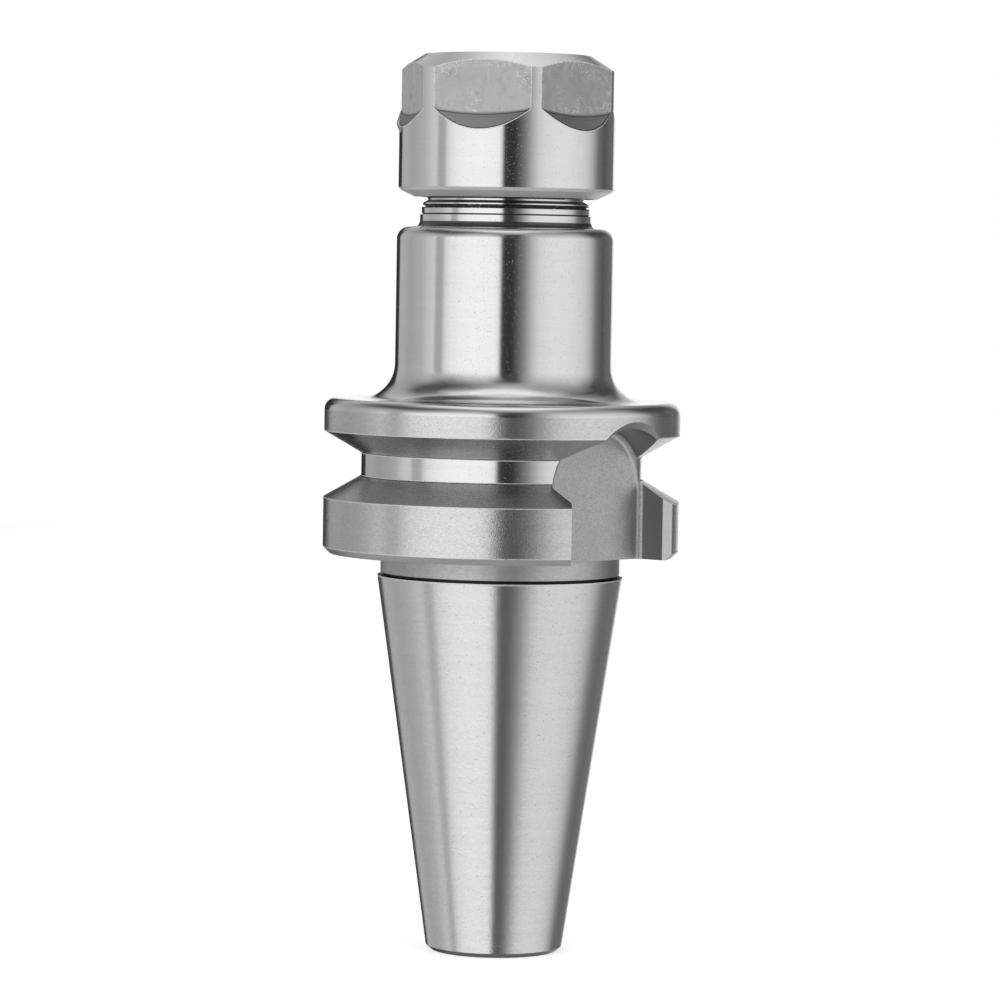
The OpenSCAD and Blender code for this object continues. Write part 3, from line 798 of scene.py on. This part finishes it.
def burr_ring(work, part):
    """One ring of the burr's vertices, at a share of its length: down the skirt, then up its back."""
    near = math.radians(BURR_FROM + (BURR_TO - BURR_FROM) * part)
    turn = near + math.radians(SHALLOW_TURN)
    wave = 1 - BURR_WAVE + BURR_WAVE * math.sin(BURR_WAVES * part)
    height = BURR_HEIGHT * math.sin(math.pi * part) ** BURR_ENDS * wave
    points = []
    for k in range(BURR_ACROSS + 1):
        down = k / BURR_ACROSS
        out = height * (1 - down) ** BURR_FALL * (1 + BURR_BELLY * down) - BURR_SINK * down
        r = NUT_RADIUS + (out if k else height * BURR_LIP)
        along = r * math.sin(near)
        past_flat = max(0.0, r * math.cos(near) - (FLAT_RADIUS + SHALLOW_CUT))
        reach = MILL_RADIUS + past_flat * MILL_SLOPE
        z = FLAT_BOTTOM + MILL_RADIUS - math.sqrt(reach * reach - along * along) - down * BURR_FLANK
        points.append((r, z))
    back = NUT_RADIUS - BURR_ROOT
    points += [(back, points[-1][1]), (back, points[0][1])]
    return [work.verts.new((r * math.cos(turn), r * math.sin(turn), z)) for r, z in points]


def make_burr():
    """The metal pushed out along the run-out of the flat that is cut less deep."""
    work = bmesh.new()
    close_bar(work, [burr_ring(work, i / BURR_STEPS) for i in range(BURR_STEPS + 1)])
    for face in work.faces:
        face.smooth = True
    bmesh.ops.recalc_face_normals(work, faces=work.faces)
    obj = new_object("nut_burr", new_mesh("nut_burr", work))
    obj.data.materials.append(material("burr"))
    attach(obj, "nut")


# ---------------------------------------------------------------- studio
# The light tent stands for the photographer's studio: how bright it is in each direction. Its levels were
# worked out from the reflections in the photograph and then adjusted. A row is an elevation and
# (azimuth, level) pairs, in degrees; azimuth counts from the photograph's camera, to the right.
LOW = (
    (-180.0, 1.0), (-175.0, 1.0), (-173.0, 0.03), (-151.0, 0.03), (-147.0, 0.46), (-134.0, 0.48),
    (-120.0, 0.42), (-98.0, 0.50), (-89.0, 0.62), (-80.0, 0.72), (-76.5, 0.44), (-69.5, 0.44),
    (-65.0, 0.80), (-57.0, 0.96), (-43.0, 1.07), (-30.0, 1.09), (-10.0, 1.06), (-5.5, 0.92),
    (-2.5, 0.04), (8.5, 0.04), (14.0, 0.12), (20.0, 0.24), (27.0, 0.48), (33.0, 0.69),
    (40.0, 0.82), (54.0, 0.88), (70.0, 0.87), (85.0, 0.79), (94.0, 0.70), (103.0, 0.52),
    (114.0, 0.19), (127.0, 0.10), (143.0, 0.15), (157.0, 0.15), (163.0, 0.80), (175.0, 1.0),
    (180.0, 1.0),
)
BACK_MOST = 0.50                # the brightest that the back is at 14 degrees up
BACK_FROM = 145.0               # degrees to either side of the camera
DIM_SHARE = 0.78                # of the level on the left, 4 degrees down
DIM_FROM, DIM_TO = -148.0, -90.0
TENT = (
    (-90.0, ((0.0, 0.36),)),
    (-60.0, ((0.0, 0.36),)),
    (-34.0, LOW),
    (-9.0, LOW),
    (-4.0, tuple((a, v * DIM_SHARE if DIM_FROM < a < DIM_TO else v) for a, v in LOW)),
    (-1.0, LOW),
    (4.0, LOW),
    (14.0, tuple((a, min(v, BACK_MOST) if abs(a) > BACK_FROM else v) for a, v in LOW)),
    (24.0, (
        (-180.0, 0.56), (-168.0, 0.54), (-158.0, 0.44), (-135.0, 0.40), (-120.0, 0.40), (-95.0, 0.50),
        (-76.0, 0.50), (-60.0, 0.62), (-40.0, 0.88), (-20.0, 0.96), (-7.0, 0.84), (-2.0, 0.06),
        (14.0, 0.08), (24.0, 0.34), (36.0, 0.72), (55.0, 0.80), (75.0, 0.76), (92.0, 0.62),
        (105.0, 0.36), (118.0, 0.10), (150.0, 0.07), (164.0, 0.12), (173.0, 0.34), (180.0, 0.56),
    )),
    (34.0, (
        (-180.0, 0.58), (-168.0, 0.56), (-156.0, 0.44), (-120.0, 0.30), (-95.0, 0.42), (-76.0, 0.31),
        (-60.0, 0.36), (-38.0, 0.66), (-20.0, 0.72), (-7.0, 0.50), (0.0, 0.07), (14.0, 0.07),
        (24.0, 0.32), (36.0, 0.60), (55.0, 0.66), (75.0, 0.62), (92.0, 0.57), (105.0, 0.31),
        (118.0, 0.08), (148.0, 0.06), (160.0, 0.28), (172.0, 0.56), (180.0, 0.58),
    )),
    (44.0, (
        (-180.0, 0.68), (-168.0, 0.62), (-156.0, 0.40), (-135.0, 0.10), (-111.0, 0.10), (-94.0, 0.12),
        (-76.0, 0.13), (-57.0, 0.28), (-38.0, 0.46), (-20.0, 0.52), (-6.0, 0.20), (6.0, 0.08),
        (18.0, 0.10), (30.0, 0.40), (40.0, 0.50), (54.0, 0.54), (73.0, 0.50), (91.0, 0.42),
        (107.0, 0.31), (132.0, 0.08), (150.0, 0.30), (166.0, 0.78), (180.0, 0.70),
    )),
    (55.0, (
        (-180.0, 0.72), (-160.0, 0.58), (-148.0, 0.47), (-126.0, 0.15), (-110.0, 0.10), (-94.0, 0.08),
        (-75.0, 0.09), (-57.0, 0.15), (-40.0, 0.28), (-20.0, 0.36), (0.0, 0.36), (20.0, 0.38),
        (40.0, 0.42), (60.0, 0.38), (91.0, 0.33), (110.0, 0.25), (127.0, 0.22), (140.0, 0.34),
        (157.0, 0.74), (180.0, 0.76),
    )),
    (66.0, (
        (-180.0, 0.96), (-119.0, 0.76), (-90.0, 0.38), (-54.0, 0.24), (-30.0, 0.40), (0.0, 0.56),
        (22.0, 0.56), (50.0, 0.42), (72.0, 0.38), (100.0, 0.50), (117.0, 0.64), (140.0, 0.80),
        (180.0, 0.96),
    )),
    (76.0, ((-180.0, 1.06), (0.0, 0.88), (180.0, 1.06))),
    (90.0, ((0.0, 1.04),)),
)
TENT_AROUND = 240               # vertices in a row
TENT_UPRIGHT = 90               # steps from bottom to top
TENT_LIMIT = 89.9               # degrees, the last row short of each pole


def tent_level(azimuth, elevation):
    """How bright the light tent is in one direction."""
    rows = [np.interp(azimuth, [a for a, _ in row], [v for _, v in row]) for _, row in TENT]
    return float(np.interp(elevation, [e for e, _ in TENT], rows))


def make_tent():
    work = bmesh.new()
    layer = work.verts.layers.float_color.new("level")
    rows = []
    for j in range(TENT_UPRIGHT + 1):
        elevation = -TENT_LIMIT + 2 * TENT_LIMIT * j / TENT_UPRIGHT
        e = math.radians(elevation)
        row = []
        for i in range(TENT_AROUND):
            azimuth = -180 + 360 * i / TENT_AROUND
            a = math.radians(azimuth + CAMERA_ANGLE)
            out = Vector((math.cos(e) * math.cos(a), math.cos(e) * math.sin(a), math.sin(e)))
            vertex = work.verts.new(out * TENT_RADIUS + Vector((0, 0, TENT_MIDDLE)))
            vertex[layer] = grey(tent_level(azimuth, elevation))
            row.append(vertex)
        rows.append(row)
    for one, two in zip(rows, rows[1:]):
        for i in range(TENT_AROUND):
            k = (i + 1) % TENT_AROUND
            work.faces.new((one[i], two[i], two[k], one[k]))
    obj = new_object("light_tent", new_mesh("light_tent", work))
    n = new_material("light_tent")
    glow = n.add("ShaderNodeEmission")
    level = n.add("ShaderNodeAttribute", attribute_name="level")
    n.link(level.outputs["Color"], glow.inputs["Color"])
    n.link(glow.outputs[0], n.out.inputs["Surface"])
    n.owner.cycles.emission_sampling = "NONE"
    obj.data.materials.append(n.owner)
    obj.visible_camera = False


def make_floor():
    """A pale floor, white where it is seen, and nothing from below."""
    work = bmesh.new()
    bmesh.ops.create_circle(work, cap_ends=True, radius=FLOOR_RADIUS, segments=96)
    obj = new_object("floor", new_mesh("floor", work))
    obj.location = (0, 0, FLOOR_Z)
    n = new_material("floor_pale")
    paper = n.add("ShaderNodeBsdfDiffuse")
    paper.inputs["Color"].default_value = grey(FLOOR_GREY)
    glow = n.add("ShaderNodeEmission")
    n.link(n.math("MULTIPLY", n.white_where_seen(), FLOOR_LIFT), glow.inputs["Strength"])
    both = n.add("ShaderNodeAddShader")
    n.link(paper.outputs[0], both.inputs[0])
    n.link(glow.outputs[0], both.inputs[1])
    through = n.add("ShaderNodeBsdfTransparent")
    pick = n.add("ShaderNodeMixShader")
    side = n.add("ShaderNodeNewGeometry")
    n.link(side.outputs["Backfacing"], pick.inputs[0])
    n.link(both.outputs[0], pick.inputs[1])
    n.link(through.outputs[0], pick.inputs[2])
    n.link(pick.outputs[0], n.out.inputs["Surface"])
    obj.data.materials.append(n.owner)
    obj.visible_glossy = False


def make_world():
    world = bpy.data.worlds.new("studio")
    bpy.context.scene.world = world
    n = Nodes(world, "ShaderNodeOutputWorld")
    back = n.add("ShaderNodeBackground")
    back.inputs["Color"].default_value = WHITE
    level = n.add("ShaderNodeMapRange")
    level.inputs["To Min"].default_value = WORLD_LIGHT
    level.inputs["To Max"].default_value = 1.0
    n.link(n.white_where_seen(), level.inputs["Value"])
    n.link(level.outputs["Result"], back.inputs["Strength"])
    n.link(back.outputs[0], n.out.inputs["Surface"])


make_camera()
make_holder()
make_nut()
make_burr()
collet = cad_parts["collet"]
for slot in collet.material_slots:
    slot.material = material("collet")
make_tent()
make_floor()
make_world()
bpy.context.scene.view_settings.view_transform = "Standard"
